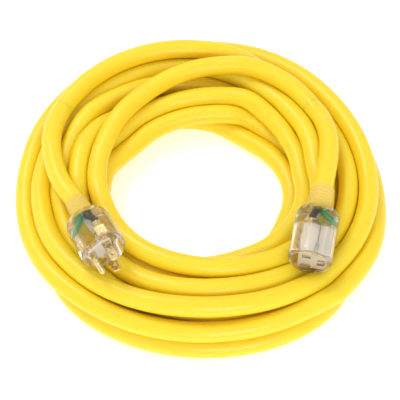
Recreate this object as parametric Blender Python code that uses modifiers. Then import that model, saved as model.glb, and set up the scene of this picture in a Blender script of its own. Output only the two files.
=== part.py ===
"""A coiled three-wire extension cord with a clear grounding plug and a clear lighted connector.

Metres, +Z up. The origin is on the floor, under the centre of the coil. The cord's two ends lie
on top of the coil. Each end is modelled in its own frame, at the centre of its face: +Z points out
of the face, +Y is up and +X goes across. The cord behind each end is a hinge's child, with the hinge
where the cord sinks into the coil, so the plug or the connector lifts off the coil with its cord.
"""
import math

import bmesh
import bpy
from mathutils import Matrix, Vector

MM = 0.001
GAP = 0.3 * MM              # left between pieces that touch
MERGE = 0.00001             # merge distance of the turned shapes

# The cord: three 10 AWG conductors in a round vinyl jacket
CORD_RADIUS = 8.15 * MM
CONDUCTOR_RADIUS = 2.3 * MM
CORD_STEP = 4 * CORD_RADIUS    # between the points of a cord's tube: two diameters

# The coil's outer shape, as (radius, height) up its inner side, across and down its outer side
COIL_INNER = 66.5
COIL_OUTER = 154.5
COIL_HEIGHT = 45.0
COIL_FOOT = 5.0             # how far the floor strands' round sides leave the flat base narrower
COIL_STEPS = 80

# Where the two ends lie on the coil: the centre of the face, the heading out of it, and its tilt
# up. The stiff cord holds the plug's nose a little off the coil.
PLUG_FACE = Vector((-53.0, -103.7, 60.0)) * MM
PLUG_HEADING = math.radians(308)
PLUG_TILT = math.radians(13)
CONNECTOR_FACE = Vector((102.2, -74.8, 50.0)) * MM
CONNECTOR_HEADING = math.radians(270)
CONNECTOR_TILT = 0.0

# Routes of the cord from each strain relief along the top of the coil: (degrees, radius, height)
PLUG_ROUTE = [
    (200.7, 113.5, 43.8), (191, 119.6, 42.8), (181.5, 126, 42), (172, 131, 40.3), (163, 133.5, 38),
]
CONNECTOR_ROUTE = [(9, 103.5, 48.5), (18, 107, 46.5), (28, 111.5, 44), (38, 115, 41), (47, 116.5, 38)]

# Grounding blade pattern, seen from the line between the two flat blades
BLADE_SPACING = 12.7
GROUND_OFFSET = 11.9
BLADE_WIDTH = 6.35
BLADE_THICKNESS = 1.5
BLADE_LENGTH = 17.5
BLADE_HOLE_RADIUS = 1.7
BLADE_HOLE_FROM_FACE = 11.9
GROUND_PIN_RADIUS = 2.38
GROUND_PIN_LENGTH = 20.6
PATTERN_SHIFT = 3.0         # the blade line's distance from the end's axis, away from the ground pin

# Plug
PLUG_RADIUS = 18.0
PLUG_LENGTH = 38.5
PLUG_FRONT_WALL = 2.5
CARRIER_THICKNESS = 3.0
PLUG_TAIL = 17.0            # how far the blades and the pin reach behind the face
PLUG_JACKET_END = 36.5      # the cord jacket's end, behind the face
PLUG_RELIEF_LENGTH = 22.5
PLUG_RELIEF_RADIUS = 10.0

# Connector
CONNECTOR_RADIUS = 17.5
CONNECTOR_LENGTH = 46.8
SLEEVE_WALL = 2.2
FACE_PLATE_THICKNESS = 2.0
CORE_LENGTH = 28.3          # from the face to the core's rear
CONNECTOR_JACKET_END = 44.8
CONNECTOR_RELIEF_LENGTH = 22.0
CONNECTOR_RELIEF_RADIUS = 10.8
SLOT_WIDTH = 2.2
LINE_SLOT_LENGTH = 6.9
NEUTRAL_SLOT_LENGTH = 8.4
GROUND_HOLE_RADIUS = 3.0
CONTACT_LEAF = 0.8
BLADE_CONTACT_GAP = 1.7
GROUND_CONTACT_GAP = 5.2
CONTACT_WIDTH = 5.6

CRIMP_RADIUS = 2.5
CRIMP_LENGTH = 4.6
WIRE_RADIUS = 0.45
LAMP_RADIUS = 1.6
LAMP_LENGTH = 6.0
RESISTOR_RADIUS = 1.3
RESISTOR_LENGTH = 6.5

PARTS = "extension_cord"
CUTTERS = "extension_cord_cutters"


# ---------------------------------------------------------------- scene, materials and objects

def clear_scene():
    for obj in list(bpy.data.objects):
        bpy.data.objects.remove(obj, do_unlink=True)


def collection(name):
    found = bpy.data.collections.new(name)
    bpy.context.scene.collection.children.link(found)
    return found


def material(name, colour, roughness, metallic=0.0, transmission=0.0):
    made = bpy.data.materials.new(name)
    made.use_nodes = True
    shader = made.node_tree.nodes["Principled BSDF"]
    shader.inputs["Base Color"].default_value = (*colour, 1.0)
    shader.inputs["Roughness"].default_value = roughness
    shader.inputs["Metallic"].default_value = metallic
    shader.inputs["Transmission Weight"].default_value = transmission
    return made


def place(name, data, finish, parent=None, local=Matrix()):
    """A new object of the part, in its parent's frame."""
    obj = bpy.data.objects.new(name, data)
    bpy.data.collections[PARTS].objects.link(obj)
    data.materials.append(finish)
    obj.parent = parent
    obj.matrix_local = local
    return obj


def hide_as_cutter(obj):
    for group in list(obj.users_collection):
        group.objects.unlink(obj)
    bpy.data.collections[CUTTERS].objects.link(obj)
    obj.hide_render = True
    obj.display_type = "WIRE"


def cut(target, cutter):
    hide_as_cutter(cutter)
    boolean = target.modifiers.new("cut " + cutter.name, "BOOLEAN")
    boolean.operation = "DIFFERENCE"
    boolean.solver = "EXACT"
    boolean.object = cutter


def end_frame(name, face, heading, tilt):
    """An empty at the centre of an end's face: +Z out of the face, +Y up and +X level."""
    across = Vector((-math.sin(heading), math.cos(heading), 0))
    out = Vector((across.y * math.cos(tilt), -across.x * math.cos(tilt), math.sin(tilt)))
    empty = bpy.data.objects.new(name, None)
    bpy.data.collections[PARTS].objects.link(empty)
    turn = Matrix((across, out.cross(across), out)).transposed()
    empty.matrix_world = Matrix.Translation(face) @ turn.to_4x4()
    return empty


# ---------------------------------------------------------------- shapes

def turned(name, profile, steps, finish, parent=None, local=Matrix()):
    """A profile of (radius, height) in mm, turned about local Z. It runs down its outer side. One
    whose ends are both on the axis stays open there, and any other is closed."""
    mesh = bpy.data.meshes.new(name)
    points = [(radius * MM, 0, height * MM) for radius, height in profile]
    edges = [(i, i + 1) for i in range(len(points) - 1)]
    if profile[0][0] > 0:
        edges.append((len(points) - 1, 0))
    mesh.from_pydata(points, edges, [])
    obj = place(name, mesh, finish, parent, local)
    screw = obj.modifiers.new("turn", "SCREW")
    screw.steps = steps
    screw.render_steps = steps
    screw.use_merge_vertices = True
    screw.merge_threshold = MERGE
    screw.use_smooth_shade = True
    return obj


def cut_out(name, outlines, thickness, finish, parent, local):
    """A flat piece from outlines of (x, y) in mm: its edge first, and then its holes."""
    curve = bpy.data.curves.new(name, "CURVE")
    curve.dimensions = "2D"
    curve.fill_mode = "BOTH"
    curve.extrude = thickness * MM / 2
    for outline in outlines:
        spline = curve.splines.new("POLY")
        spline.points.add(len(outline) - 1)
        for point, (x, y) in zip(spline.points, outline):
            point.co = (x * MM, y * MM, 0, 1)
        spline.use_cyclic_u = True
    return place(name, curve, finish, parent, local)


def tube(name, points, radius, finish, parent=None, local=Matrix()):
    """A round tube with filled caps through points in metres."""
    curve = bpy.data.curves.new(name, "CURVE")
    curve.dimensions = "3D"
    curve.bevel_depth = radius
    curve.bevel_resolution = 2
    curve.use_fill_caps = True
    spline = curve.splines.new("POLY")
    spline.points.add(len(points) - 1)
    for point, co in zip(spline.points, points):
        point.co = (*co, 1)
    return place(name, curve, finish, parent, local)


def box(name, size, centre, finish, parent):
    """A box with a size and a centre in mm."""
    mesh = bpy.data.meshes.new(name)
    shape = bmesh.new()
    bmesh.ops.create_cube(shape, size=1)
    bmesh.ops.scale(shape, vec=Vector(size) * MM, verts=shape.verts)
    shape.to_mesh(mesh)
    shape.free()
    return place(name, mesh, finish, parent, Matrix.Translation(Vector(centre) * MM))


def round_peg(name, radius, length, centre, finish, parent):
    """A cylinder along local Z, with its centre in mm."""
    mesh = bpy.data.meshes.new(name)
    shape = bmesh.new()
    bmesh.ops.create_cone(
        shape, cap_ends=True, segments=16, radius1=radius * MM, radius2=radius * MM, depth=length * MM
    )
    shape.to_mesh(mesh)
    shape.free()
    return place(name, mesh, finish, parent, Matrix.Translation(Vector(centre) * MM))


def arc(centre, radius, start, end, steps):
    """Points on an arc, with angles in degrees."""
    angles = [math.radians(start + (end - start) * i / steps) for i in range(steps + 1)]
    return [(centre[0] + radius * math.cos(a), centre[1] + radius * math.sin(a)) for a in angles]


def rectangle(width, height, centre=(0, 0)):
    x, y = centre
    w, h = width / 2, height / 2
    return [(x - w, y - h), (x + w, y - h), (x + w, y + h), (x - w, y + h)]


def polar(degrees, radius, height):
    angle = math.radians(degrees)
    return Vector((radius * math.cos(angle), radius * math.sin(angle), height)) * MM


def smooth_path(route, step):
    """Points about a step apart on a Catmull-Rom curve through a route."""
    ends = [2 * route[0] - route[1], *route, 2 * route[-1] - route[-2]]
    fine = [route[0]]
    pieces = 40
    for a, b, c, d in zip(ends, ends[1:], ends[2:], ends[3:]):
        for i in range(1, pieces + 1):
            t = i / pieces
            rise = (c - a) * t + (2 * a - 5 * b + 4 * c - d) * t * t + (3 * b - a - 3 * c + d) * t ** 3
            fine.append(b + rise / 2)
    lengths = [(q - p).length for p, q in zip(fine, fine[1:])]
    count = max(2, round(sum(lengths) / step))
    spacing = sum(lengths) / count
    points, gone = [fine[0]], 0.0
    for length, point in zip(lengths, fine[1:]):
        gone += length
        if gone >= spacing * len(points) - MERGE and len(points) < count:
            points.append(point)
    points.append(fine[-1])
    return points


def trough(name, points, radius):
    """A cutter along a level path: round below, with upright walls above."""
    guide = bpy.data.curves.new(name + "_section", "CURVE")
    guide.dimensions = "2D"
    section = arc((0, 0), radius, 180, 360, 10) + [(radius, 40 * MM), (-radius, 40 * MM)]
    spline = guide.splines.new("POLY")
    spline.points.add(len(section) - 1)
    for point, (x, y) in zip(spline.points, section):
        point.co = (x, y, 0, 1)
    spline.use_cyclic_u = True
    guide_object = bpy.data.objects.new(guide.name, guide)
    bpy.data.collections[PARTS].objects.link(guide_object)
    hide_as_cutter(guide_object)

    swept = tube(name + "_sweep", points, 0, bpy.data.materials["yellow_vinyl"])
    swept.data.bevel_mode = "OBJECT"
    swept.data.bevel_object = guide_object
    swept.data.twist_mode = "Z_UP"
    bpy.context.view_layer.update()
    mesh = bpy.data.meshes.new_from_object(swept.evaluated_get(bpy.context.evaluated_depsgraph_get()))
    bpy.data.objects.remove(swept, do_unlink=True)
    shape = bmesh.new()
    shape.from_mesh(mesh)
    bmesh.ops.remove_doubles(shape, verts=shape.verts, dist=MERGE)
    bmesh.ops.recalc_face_normals(shape, faces=shape.faces)
    shape.to_mesh(mesh)
    shape.free()
    cutter = bpy.data.objects.new(name, mesh)
    bpy.data.collections[PARTS].objects.link(cutter)
    return cutter


# ---------------------------------------------------------------- pieces that both ends have

def cord_behind(end, jacket_end, relief_end, route):
    """The cord's centre line from its jacket's end, straight through the strain relief and along
    its route over the coil."""
    inside = end.matrix_world @ Vector((0, 0, -jacket_end * MM))
    outside = end.matrix_world @ Vector((0, 0, -relief_end * MM))
    return [inside] + smooth_path([outside] + [polar(*point) for point in route], CORD_STEP)


def strain_relief(name, start, length, radius, finish, end):
    """A ribbed sleeve round the cord. Its ribs get thinner away from the housing."""
    ribs = 5
    groove = 1.0
    bore = CORD_RADIUS / MM + 0.3
    pitch = length / ribs
    profile = []
    for i in range(ribs):
        top = -start - i * pitch
        outer = radius - 0.15 * i
        profile += [(outer, top), (outer, top - 0.62 * pitch)]
        profile += [(outer - groove, top - 0.72 * pitch), (outer - groove, top - 0.9 * pitch)]
    profile += [(radius - 0.15 * ribs, -start - length), (bore, -start - length), (bore, -start)]
    return turned(name, profile, 28, finish, end)


def crimp(name, centre, start, finish, end):
    """A barrel pressed round a conductor's bare end."""
    x, y = centre
    waist = CRIMP_RADIUS - 0.4
    profile = [
        (0, -start), (CRIMP_RADIUS, -start), (CRIMP_RADIUS, -start - 1.4), (waist, -start - 2.0),
        (waist, -start - 3.0), (CRIMP_RADIUS, -start - 3.6), (CRIMP_RADIUS, -start - CRIMP_LENGTH),
        (0, -start - CRIMP_LENGTH),
    ]
    return turned(name, profile, 12, finish, end, Matrix.Translation((x * MM, y * MM, 0)))


def conductor(name, at_crimp, crimp_end, at_jacket, jacket_end, finish, end):
    """An insulated conductor that bends from its crimp in to the cord's axis, straight at both ends."""
    bends = [(0, 0), (0.16, 0), (0.38, 0.25), (0.62, 0.75), (0.84, 1), (1, 1)]
    points = []
    for along, across in bends:
        x = at_crimp[0] + (at_jacket[0] - at_crimp[0]) * across
        y = at_crimp[1] + (at_jacket[1] - at_crimp[1]) * across
        z = -crimp_end + (crimp_end - jacket_end) * along
        points.append((x * MM, y * MM, z * MM))
    return tube(name, points, CONDUCTOR_RADIUS, finish, end)


def ends_of_three(ground_side):
    """Where the line, neutral and ground contacts stand on a face, with the ground pin to one side."""
    blades = -ground_side * PATTERN_SHIFT
    ground = blades + ground_side * GROUND_OFFSET
    return {
        "line": (blades, BLADE_SPACING / 2),
        "neutral": (blades, -BLADE_SPACING / 2),
        "ground": (ground, 0.0),
    }


def jacket_bundle(ground_side):
    """Where the three conductors leave the jacket, each touching the other two."""
    reach = CONDUCTOR_RADIUS / MM * 1.3
    return {
        "line": (-ground_side * reach / 2, reach * math.sin(math.pi / 3)),
        "neutral": (-ground_side * reach / 2, -reach * math.sin(math.pi / 3)),
        "ground": (ground_side * reach, 0.0),
    }


def wiring(prefix, ground_side, crimp_start, jacket_end, looks, end):
    """The three crimps and the three conductors of one end."""
    crimp_end = crimp_start + CRIMP_LENGTH + 0.3
    insulation = {"line": looks["black"], "neutral": looks["white"], "ground": looks["green"]}
    at_jacket = jacket_bundle(ground_side)
    for wire, spot in ends_of_three(ground_side).items():
        crimp(f"{prefix}_{wire}_crimp", spot, crimp_start, looks["brass"], end)
        conductor(
            f"{prefix}_{wire}_conductor", spot, crimp_end, at_jacket[wire], jacket_end - 0.3,
            insulation[wire], end,
        )


# ---------------------------------------------------------------- plug

def plug_housing(looks, end):
    """A round clear body with a blind front, a hollow for the wiring and a bore for the cord."""
    shoulder = 6.0
    bore = CORD_RADIUS / MM + 0.3
    hollow = 13.9
    neck = PLUG_RADIUS - shoulder
    profile = [(0, 0), (PLUG_RADIUS - 1.6, 0), (PLUG_RADIUS - 0.5, -0.5), (PLUG_RADIUS, -1.6)]
    profile += arc((neck, shoulder - PLUG_LENGTH), shoulder, 0, -90, 4)
    profile += [(bore, -PLUG_LENGTH), (bore, -PLUG_JACKET_END + 0.5), (hollow - 2.5, -PLUG_JACKET_END + 2)]
    profile += [(hollow, 6 - PLUG_JACKET_END), (hollow, -PLUG_FRONT_WALL), (0, -PLUG_FRONT_WALL)]
    body = turned("plug_housing", profile, 40, looks["clear"], end)
    spots = ends_of_three(-1)
    wall_centre = -PLUG_FRONT_WALL / 2
    depth = PLUG_FRONT_WALL + 2
    for wire in ("line", "neutral"):
        x, y = spots[wire]
        size = (BLADE_WIDTH + 0.6, BLADE_THICKNESS + 0.6, depth)
        cut(body, box(f"plug_{wire}_slot_cutter", size, (x, y, wall_centre), looks["clear"], end))
    x, y = spots["ground"]
    radius = GROUND_PIN_RADIUS + 0.35
    cut(body, round_peg("plug_ground_hole_cutter", radius, depth, (x, y, wall_centre), looks["clear"], end))


def plug_carrier(looks, end):
    """The white bridge that holds the blades and the pin in their places behind the front wall."""
    spots = ends_of_three(-1)
    outline = [(-11.9, -2.8), (-0.5, -8.6), (7.4, -8.6), (7.4, 8.6), (-0.5, 8.6), (-11.9, 2.8)]
    width, height = BLADE_WIDTH + 0.6, BLADE_THICKNESS + 0.6
    slots = [rectangle(width, height, spots[wire]) for wire in ("line", "neutral")]
    hole = arc(spots["ground"], GROUND_PIN_RADIUS + 0.35, 0, 337.5, 15)
    middle = -PLUG_FRONT_WALL - 0.3 - CARRIER_THICKNESS / 2
    cut_out(
        "plug_blade_carrier", [outline, *slots, hole], CARRIER_THICKNESS, looks["white_plastic"], end,
        Matrix.Translation((0, 0, middle * MM)),
    )


def plug_blade(wire, looks, end):
    """A flat brass blade with a rounded tip and a hole near it."""
    x, y = ends_of_three(-1)[wire]
    half = BLADE_WIDTH / 2
    corner = 1.8
    outline = [(-half, -PLUG_TAIL), (half, -PLUG_TAIL)]
    outline += arc((half - corner, BLADE_LENGTH - corner), corner, 0, 90, 4)
    outline += arc((corner - half, BLADE_LENGTH - corner), corner, 90, 180, 4)
    hole = arc((0, BLADE_HOLE_FROM_FACE), BLADE_HOLE_RADIUS, 0, 330, 11)
    # the outline's second axis runs out of the face
    stand = Matrix.Translation((x * MM, y * MM, 0)) @ Matrix.Rotation(math.radians(90), 4, "X")
    cut_out(f"plug_{wire}_blade", [outline, hole], BLADE_THICKNESS, looks["brass"], end, stand)


def plug_ground_pin(looks, end):
    x, y = ends_of_three(-1)["ground"]
    radius = GROUND_PIN_RADIUS
    tip = arc((0, GROUND_PIN_LENGTH - radius), radius, 90, 0, 4)
    profile = [(0, GROUND_PIN_LENGTH), *tip[1:], (radius, -PLUG_TAIL), (0, -PLUG_TAIL)]
    turned("plug_ground_pin", profile, 16, looks["brass"], end, Matrix.Translation((x * MM, y * MM, 0)))


def build_plug(looks):
    end = end_frame("plug_frame", PLUG_FACE, PLUG_HEADING, PLUG_TILT)
    bpy.context.view_layer.update()
    plug_housing(looks, end)
    plug_carrier(looks, end)
    for wire in ("line", "neutral"):
        plug_blade(wire, looks, end)
    plug_ground_pin(looks, end)
    wiring("plug", -1, PLUG_TAIL + 0.3, PLUG_JACKET_END, looks, end)
    relief_start = PLUG_LENGTH + 0.3
    strain_relief(
        "plug_strain_relief", relief_start, PLUG_RELIEF_LENGTH, PLUG_RELIEF_RADIUS, looks["clear"], end
    )
    path = cord_behind(end, PLUG_JACKET_END, relief_start + PLUG_RELIEF_LENGTH, PLUG_ROUTE)
    tube("plug_lead", path, CORD_RADIUS, looks["yellow"])
    return end, path


# ---------------------------------------------------------------- connector

def connector_housing(looks, end):
    """A round clear sleeve that is open in front for the face plate and the core."""
    shoulder = 5.5
    bore = CORD_RADIUS / MM + 0.3
    inner = CONNECTOR_RADIUS - SLEEVE_WALL
    neck = CONNECTOR_RADIUS - shoulder
    profile = [(inner, 0), (CONNECTOR_RADIUS - 1.4, 0), (CONNECTOR_RADIUS, -1.4)]
    profile += arc((neck, shoulder - CONNECTOR_LENGTH), shoulder, 0, -90, 4)
    profile += [(bore, -CONNECTOR_LENGTH), (bore, -CONNECTOR_JACKET_END + 0.5)]
    profile += [(12, 2 - CONNECTOR_JACKET_END), (inner, 6 - CONNECTOR_JACKET_END)]
    turned("connector_housing", profile, 40, looks["clear"], end)


def ground_hole(radius, centre):
    """A hole that is round on the outer side and square on the side of the slots."""
    x, y = centre
    return arc((x, y), radius, -90, 90, 8) + [(x - radius, y + radius), (x - radius, y - radius)]


def core_outline():
    """Two blocks, over the blade contacts and over the ground contact, with a groove between them."""
    upper = [
        (13.2, 6.2), (10.6, 9.6), (4.2, 9.6), (4.2, 8.9), (3.0, 8.9), (3.0, 10.3), (-7.5, 10.3), (-9.3, 8.3),
    ]
    lower = [(x, -y) for x, y in reversed(upper)]
    return upper + lower


def connector_face_plate(looks, end):
    spots = ends_of_three(1)
    radius = CONNECTOR_RADIUS - SLEEVE_WALL - 0.3
    rim = arc((0, 0), radius, 0, 351, 39)
    line = rectangle(LINE_SLOT_LENGTH, SLOT_WIDTH, spots["line"])
    neutral = rectangle(NEUTRAL_SLOT_LENGTH, SLOT_WIDTH, spots["neutral"])
    hole = ground_hole(GROUND_HOLE_RADIUS, spots["ground"])
    cut_out(
        "connector_face_plate", [rim, line, neutral, hole], FACE_PLATE_THICKNESS, looks["clear"],
        end, Matrix.Translation((0, 0, -FACE_PLATE_THICKNESS / 2 * MM)),
    )


def connector_core(looks, end):
    """The white block whose three passages hold the contacts."""
    spots = ends_of_three(1)
    play = 0.6
    blade_passage = BLADE_CONTACT_GAP + 2 * CONTACT_LEAF + play
    ground_passage = GROUND_CONTACT_GAP + 2 * CONTACT_LEAF + play
    holes = [rectangle(BLADE_WIDTH + 1, blade_passage, spots[wire]) for wire in ("line", "neutral")]
    holes.append(rectangle(CONTACT_WIDTH + play, ground_passage, spots["ground"]))
    start = FACE_PLATE_THICKNESS + 0.3
    middle = -(start + CORE_LENGTH) / 2
    cut_out(
        "connector_core", [core_outline(), *holes], CORE_LENGTH - start, looks["white_plastic"], end,
        Matrix.Translation((0, 0, middle * MM)),
    )


def connector_contact(wire, gap, width, looks, end):
    """Two brass leaves that grip a blade or the pin, joined behind it."""
    x, y = ends_of_three(1)[wire]
    outer, inner = gap / 2 + CONTACT_LEAF, gap / 2
    mouth, web, back = -4.2, 1.0 - CORE_LENGTH, -0.2 - CORE_LENGTH
    outline = [
        (-outer, back), (outer, back), (outer, mouth), (inner, mouth), (inner, web),
        (-inner, web), (-inner, mouth), (-outer, mouth),
    ]
    # the outline's axes become local Y and local Z
    turn = Matrix(((0, 0, 1), (1, 0, 0), (0, 1, 0))).to_4x4()
    stand = Matrix.Translation((x * MM, y * MM, 0)) @ turn
    cut_out(f"connector_{wire}_contact", [outline], width, looks["brass"], end, stand)


def connector_lamp(looks, end):
    """The indicator lamp on top of the core, its series resistor beside the core, and their wires."""
    x, y, front = 3.6, 12.3, 4.2
    back = front + LAMP_LENGTH
    profile = [
        (0, -front), (0.9, -front), (LAMP_RADIUS, -front - 0.8), (LAMP_RADIUS, -back + 0.4),
        (LAMP_RADIUS - 0.4, -back), (0, -back),
    ]
    turned("connector_lamp", profile, 14, looks["lamp"], end, Matrix.Translation((x * MM, y * MM, 0)))

    rx, ry, r_front = -11.6, 5.0, 14.8
    r_back = r_front + RESISTOR_LENGTH
    bulge = RESISTOR_RADIUS
    profile = [
        (0, -r_front), (bulge, -r_front - 0.3), (bulge, -r_front - 1.4), (bulge - 0.25, -r_front - 1.8),
        (bulge - 0.25, -r_back + 1.8), (bulge, -r_back + 1.4), (bulge, -r_back + 0.3), (0, -r_back),
    ]
    spot = Matrix.Translation((rx * MM, ry * MM, 0))
    turned("connector_lamp_resistor", profile, 12, looks["tan"], end, spot)

    crimp_top = BLADE_SPACING / 2 + CRIMP_RADIUS + WIRE_RADIUS + 0.3
    blades_x = ends_of_three(1)["line"][0]
    at_crimp = -CORE_LENGTH - 3.2
    line_wire = [
        (x, y, -back - 0.3), (x, y, -18), (x, y - 0.2, -24), (x - 0.6, y - 0.6, -28.6),
        (blades_x, crimp_top, at_crimp),
    ]
    front_wire = [
        (x, y, -front + 0.3), (x - 0.5, y - 0.1, -3.3), (0, y - 0.3, -3.1), (-6, 11.6, -3.3),
        (-9.4, 10.2, -4.4), (rx + 0.2, 7.4, -9), (rx, ry, -r_front + 0.3),
    ]
    crimp_side = blades_x - CRIMP_RADIUS - WIRE_RADIUS - 0.3
    rear_wire = [
        (rx, ry, -r_back - 0.3), (rx, ry - 2, -24.5), (-10.8, -3, -29.2),
        (crimp_side - 0.4, -BLADE_SPACING / 2, at_crimp),
    ]
    wires = {"line": line_wire, "front": front_wire, "neutral": rear_wire}
    for which, points in wires.items():
        line = [Vector(p) * MM for p in points]
        tube(f"connector_lamp_{which}_wire", line, WIRE_RADIUS * MM, looks["brass"], end)


def build_connector(looks):
    end = end_frame("connector_frame", CONNECTOR_FACE, CONNECTOR_HEADING, CONNECTOR_TILT)
    bpy.context.view_layer.update()
    connector_housing(looks, end)
    connector_face_plate(looks, end)
    connector_core(looks, end)
    for wire in ("line", "neutral"):
        connector_contact(wire, BLADE_CONTACT_GAP, BLADE_WIDTH, looks, end)
    connector_contact("ground", GROUND_CONTACT_GAP, CONTACT_WIDTH, looks, end)
    wiring("connector", 1, CORE_LENGTH + 0.5, CONNECTOR_JACKET_END, looks, end)
    connector_lamp(looks, end)
    relief_start = CONNECTOR_LENGTH + 0.3
    strain_relief(
        "connector_strain_relief", relief_start, CONNECTOR_RELIEF_LENGTH, CONNECTOR_RELIEF_RADIUS,
        looks["clear"], end,
    )
    path = cord_behind(end, CONNECTOR_JACKET_END, relief_start + CONNECTOR_RELIEF_LENGTH, CONNECTOR_ROUTE)
    tube("connector_lead", path, CORD_RADIUS, looks["yellow"])
    return end, path


# ---------------------------------------------------------------- coil

def build_coil(looks, ends):
    """The outer shape of the wound cord, with a groove for each lead and a nest for each end."""
    side = 10.0
    profile = [
        (COIL_OUTER - 24, COIL_HEIGHT), (COIL_OUTER - 9, COIL_HEIGHT - 11), (COIL_OUTER - 1, 19),
        (COIL_OUTER, side), (COIL_OUTER - 1.5, 3.5), (COIL_OUTER - COIL_FOOT, 0),
        (COIL_INNER + COIL_FOOT, 0), (COIL_INNER + 1.5, 3.5), (COIL_INNER, side),
        (COIL_INNER + 4, 22), (COIL_INNER + 12, COIL_HEIGHT - 8), (COIL_INNER + 20, COIL_HEIGHT),
    ]
    coil = turned("cord_coil", profile, COIL_STEPS, looks["yellow"])
    for name, end, path, body, relief, front, shoulder, back in ends:
        groove = path[1:] + [path[-1] + (path[-1] - path[-2]).normalized() * GAP]
        cut(coil, trough(name + "_groove_cutter", groove, CORD_RADIUS + 2 * GAP))
        for part, radius, first, last in (("body", body, -shoulder, front), ("relief", relief, -back, 0)):
            nest = [end.matrix_world @ Vector((0, 0, z * MM)) for z in (first, last)]
            cut(coil, trough(f"{name}_{part}_nest_cutter", nest, radius * MM + 2 * GAP))


def main():
    clear_scene()
    collection(PARTS)
    collection(CUTTERS)
    looks = {
        "yellow": material("yellow_vinyl", (0.90, 0.68, 0.03), 0.38),
        "clear": material("clear_vinyl", (0.93, 0.92, 0.90), 0.08, transmission=0.9),
        "white_plastic": material("white_plastic", (0.88, 0.87, 0.84), 0.4),
        "brass": material("brass", (0.80, 0.62, 0.32), 0.28, metallic=1.0),
        "black": material("black_insulation", (0.02, 0.02, 0.02), 0.4),
        "white": material("white_insulation", (0.85, 0.85, 0.83), 0.4),
        "green": material("green_insulation", (0.05, 0.42, 0.20), 0.4),
        "lamp": material("lamp_glass", (0.45, 0.44, 0.42), 0.1),
        "tan": material("resistor_lacquer", (0.62, 0.42, 0.22), 0.45),
    }
    plug_end, plug_path = build_plug(looks)
    connector_end, connector_path = build_connector(looks)
    play = 1.5
    plug_back = PLUG_LENGTH + PLUG_RELIEF_LENGTH + play
    connector_back = CONNECTOR_LENGTH + CONNECTOR_RELIEF_LENGTH + play
    build_coil(looks, [
        (
            "plug", plug_end, plug_path, PLUG_RADIUS, PLUG_RELIEF_RADIUS,
            GROUND_PIN_LENGTH + play, PLUG_LENGTH + play, plug_back,
        ),
        (
            "connector", connector_end, connector_path, CONNECTOR_RADIUS, CONNECTOR_RELIEF_RADIUS,
            play, CONNECTOR_LENGTH + play, connector_back,
        ),
    ])
    bpy.context.view_layer.update()


main()
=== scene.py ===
"""A heavy three-wire extension cord wound in a round coil, with a clear grounding plug and a clear
lighted connector lying on top of it. Metres, +Z up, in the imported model's frame."""

import math

import bmesh
import bpy
import numpy as np
from mathutils import Matrix, Vector


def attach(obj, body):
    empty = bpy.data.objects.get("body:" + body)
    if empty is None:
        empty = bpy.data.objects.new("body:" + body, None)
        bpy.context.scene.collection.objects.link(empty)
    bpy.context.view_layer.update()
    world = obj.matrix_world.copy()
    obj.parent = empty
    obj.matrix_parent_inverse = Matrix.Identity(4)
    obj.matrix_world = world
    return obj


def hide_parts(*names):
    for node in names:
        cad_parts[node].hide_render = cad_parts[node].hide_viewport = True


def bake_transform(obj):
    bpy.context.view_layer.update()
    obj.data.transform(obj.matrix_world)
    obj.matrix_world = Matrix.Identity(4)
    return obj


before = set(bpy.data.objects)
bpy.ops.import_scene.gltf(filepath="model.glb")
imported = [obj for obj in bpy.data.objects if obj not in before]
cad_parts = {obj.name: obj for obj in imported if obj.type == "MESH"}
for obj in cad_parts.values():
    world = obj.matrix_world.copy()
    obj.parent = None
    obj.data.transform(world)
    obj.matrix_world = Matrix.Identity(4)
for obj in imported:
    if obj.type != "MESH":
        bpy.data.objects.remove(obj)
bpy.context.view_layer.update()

MM = 0.001

# ---------------------------------------------------------------- sizes shared with the CAD, in mm

CORD_RADIUS = 8.15
CORD_DIAMETER = 2 * CORD_RADIUS
CONDUCTOR_RADIUS = 2.3

# Face: the spot at the middle of an end's face. Heading and tilt: the way it looks, in degrees.
# Relief: the length and the greatest radius of the strain relief. Route: (degrees, radius, height)
# of the lead's points from the relief to its hinge, the same as in the CAD.
PLUG_FACE, PLUG_HEADING, PLUG_TILT = (-53.0, -103.7, 60.0), 308.0, 13.0
PLUG_RADIUS, PLUG_LENGTH, PLUG_JACKET_END, PLUG_RELIEF = 18.0, 38.5, 36.5, (22.5, 10.0)
PLUG_TAIL = 17.0            # how far the ground pin reaches behind the face
PLUG_ROUTE = [
    (200.7, 113.5, 43.8), (191, 119.6, 42.8), (181.5, 126, 42), (172, 131, 40.3), (163, 133.5, 38),
]

CONNECTOR_FACE, CONNECTOR_HEADING, CONNECTOR_TILT = (102.2, -74.8, 50.0), 270.0, 0.0
CONNECTOR_RADIUS, CONNECTOR_LENGTH, CONNECTOR_JACKET_END = 17.5, 46.8, 44.8
CONNECTOR_RELIEF = (22.0, 10.8)
SLEEVE_WALL = 2.2
CORE_LENGTH = 28.3          # from the face to the core's rear
CONNECTOR_ROUTE = [(9, 103.5, 48.5), (18, 107, 46.5), (28, 111.5, 44), (38, 115, 41), (47, 116.5, 38)]

BLADE_SPACING = 12.7
GROUND_OFFSET = 11.9
GROUND_PIN_RADIUS = 2.38
GROUND_PIN_LENGTH = 20.6
PATTERN_SHIFT = 3.0         # the blade line's distance from the end's axis
CRIMP_RADIUS = 2.5
CRIMP_LENGTH = 4.6
WIRE_RADIUS = 0.45
LAMP_RADIUS, LAMP_LENGTH, LAMP_SPOT = 1.6, 6.0, (3.6, 12.3, 4.2)
RESISTOR_RADIUS, RESISTOR_LENGTH, RESISTOR_SPOT = 1.3, 6.5, (-11.6, 5.0, 14.8)
MEET_GAP = 0.3              # between a housing and its strain relief

# ---------------------------------------------------------------- camera

CAMERA_SPOT = Vector((0.1112, -0.5233, 0.8167))
CAMERA_TARGET = Vector((0.00366, -0.01722, 0.020))
CAMERA_LENS = 102.96


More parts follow.
